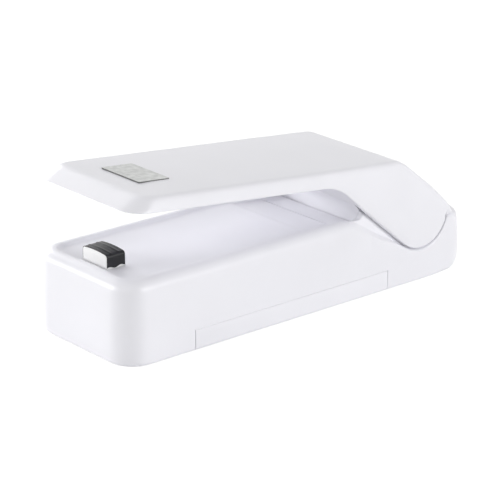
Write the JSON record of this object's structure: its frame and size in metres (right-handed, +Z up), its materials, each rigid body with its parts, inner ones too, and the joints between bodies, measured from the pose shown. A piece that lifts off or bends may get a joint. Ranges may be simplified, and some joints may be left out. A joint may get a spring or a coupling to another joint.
{
  "type": "handheld bag sealer",
  "caption": "Handheld battery bag sealer with a sprung press arm over a small heated sealing head on a box-shaped base.",
  "frame": {"origin": "middle of the flat underside, on the surface that it stands on", "axes": "+Y along the length towards the hinge, +X across the width towards the battery door's side, +Z up"},
  "size_m": [0.0378, 0.11, 0.0409],
  "materials": {
    "shell": "satin moulded ABS",
    "screw_steel": "zinc plated",
    "spring_steel": "drawn wire",
    "pin_steel": "ground",
    "tray": "moulded",
    "guide": "moulded",
    "cell_wrap": "plain shrink wrap",
    "contact": "stamped strip",
    "lead_red": "insulated",
    "lead_black": "insulated",
    "silicone": "translucent white",
    "label": "silver foil, bare",
    "block": "heat resistant, white",
    "heater_wire": "resistance wire",
    "tape": "black release tape on glass cloth"
  },
  "bodies": {
    "base": {"base_housing": "shell", "bottom_cover": "shell", "housing_screws": "screw_steel", "battery_tray": "tray", "battery_left": "cell_wrap", "battery_right": "cell_wrap", "battery_springs": "spring_steel", "terminal_positive": "contact", "terminal_negative": "contact", "bridge_contact": "contact", "head_guide": "guide", "guide_screws": "screw_steel", "head_springs": "spring_steel", "switch_contact_left": "contact", "switch_contact_right": "contact", "wire_red": "lead_red", "wire_black": "lead_black", "hinge_pin": "pin_steel", "return_spring": "spring_steel"},
    "arm": {"arm_shell": "shell", "arm_liner": "shell", "arm_screws": "screw_steel", "press_pad": "silicone", "label_plate": "label"},
    "sealing_head": {"heater_block": "block", "heating_wires": "heater_wire", "ptfe_tape": "tape", "heater_terminals": "contact"},
    "battery_door": {"battery_door": "shell"}
  },
  "joints": [
    {"name": "arm_hinge", "type": "hinge", "parent": "base", "child": "arm", "pos_m": [0, 0.038, 0.0176], "axis": [1, 0, 0], "range_deg": [0, 9], "stiffness_Nm_per_rad": 0.2, "springref_deg": -11.46, "deforming": ["return_spring"]},
    {"name": "head_press", "type": "slide", "parent": "base", "child": "sealing_head", "axis": [0, 0, -1], "range_m": [0, 0.0012], "stiffness_N_per_m": 500, "springref_m": -0.002, "deforming": ["head_springs"]},
    {"name": "door_slide", "type": "slide", "parent": "base", "child": "battery_door", "axis": [1, 0, 0], "range_m": [0, 0.034]}
  ]
}
